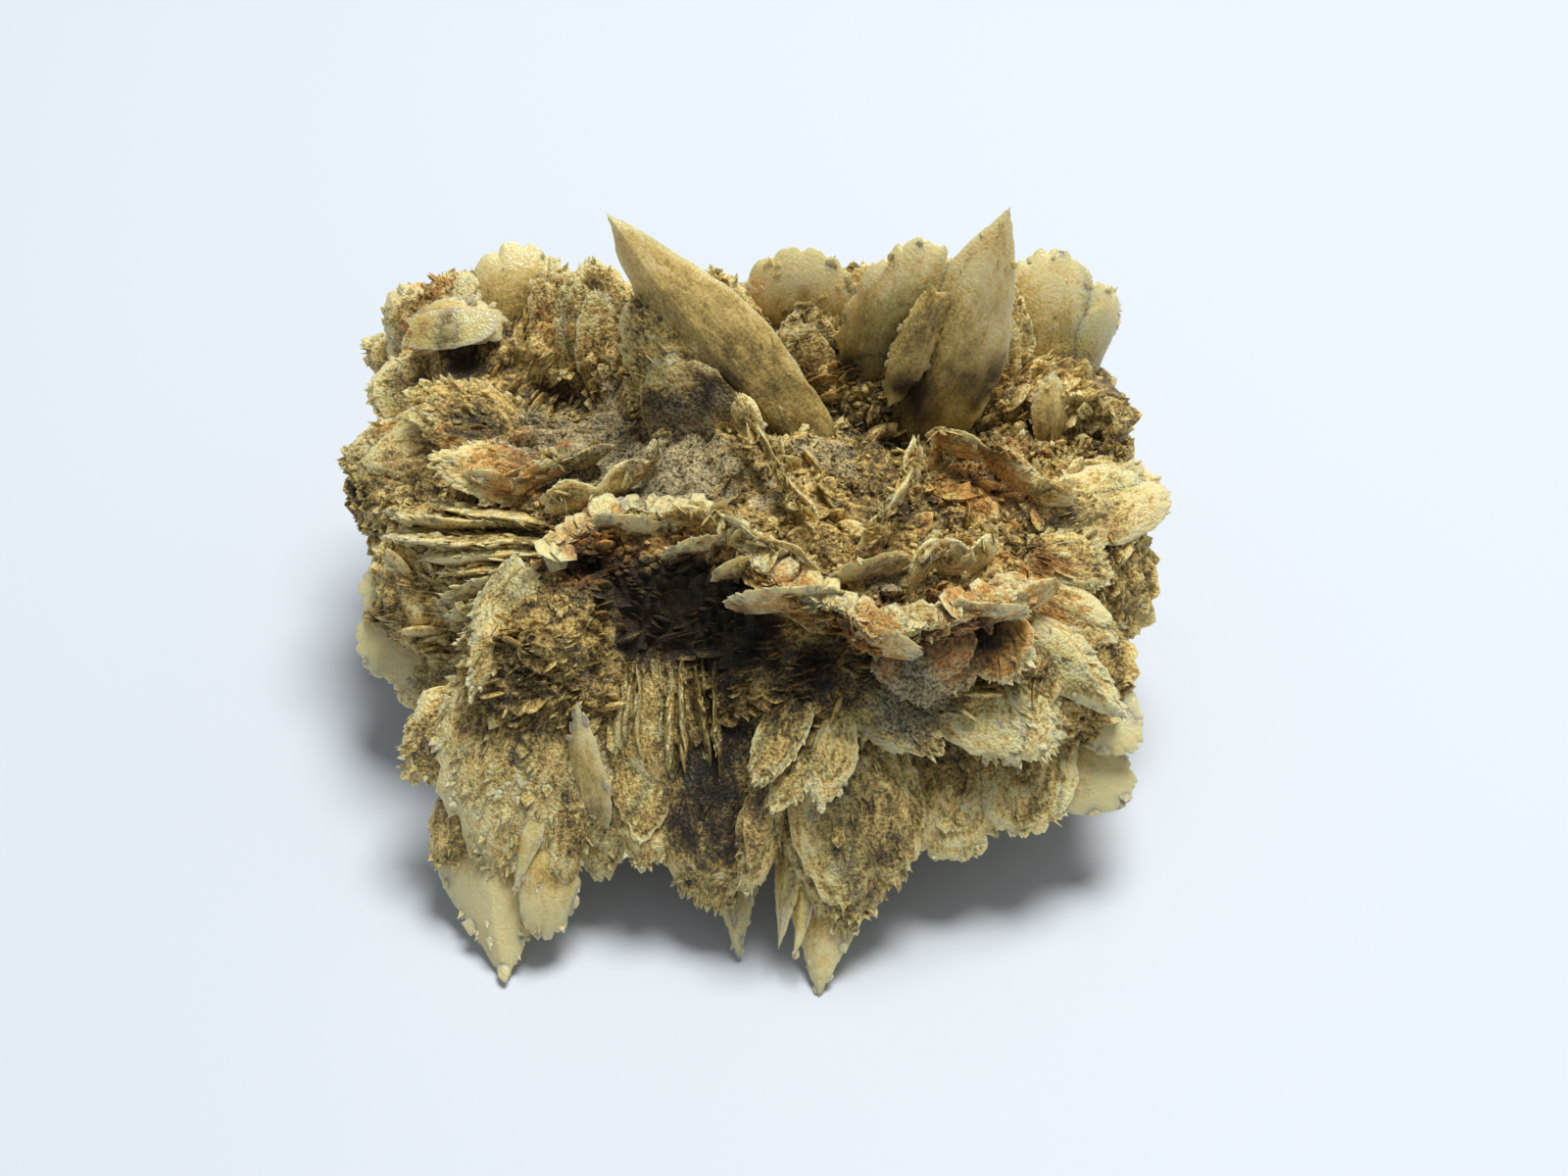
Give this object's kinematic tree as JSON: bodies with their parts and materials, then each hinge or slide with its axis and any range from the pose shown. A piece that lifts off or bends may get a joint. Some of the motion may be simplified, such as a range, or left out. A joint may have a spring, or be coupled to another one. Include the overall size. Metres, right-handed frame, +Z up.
{
  "type": "desert rose selenite",
  "caption": "Natural desert rose cluster of intergrown lens-shaped selenite blades, with a crumbly top, an overhanging ledge and tall pointed crystals at the back.",
  "frame": {"origin": "middle of the cluster's box, at the height of the surface it rests on", "axes": "+X along its longest side, +Y towards the tall crystals at its back, +Z up"},
  "size_m": [0.108, 0.0832, 0.073],
  "materials": {
    "selenite": "translucent honey-olive gypsum, satin, with paler sharp rims, grey-green sand held in it and rusty stains"
  },
  "bodies": {
    "root": {"selenite_rose": "selenite"}
  },
  "joints": []
}
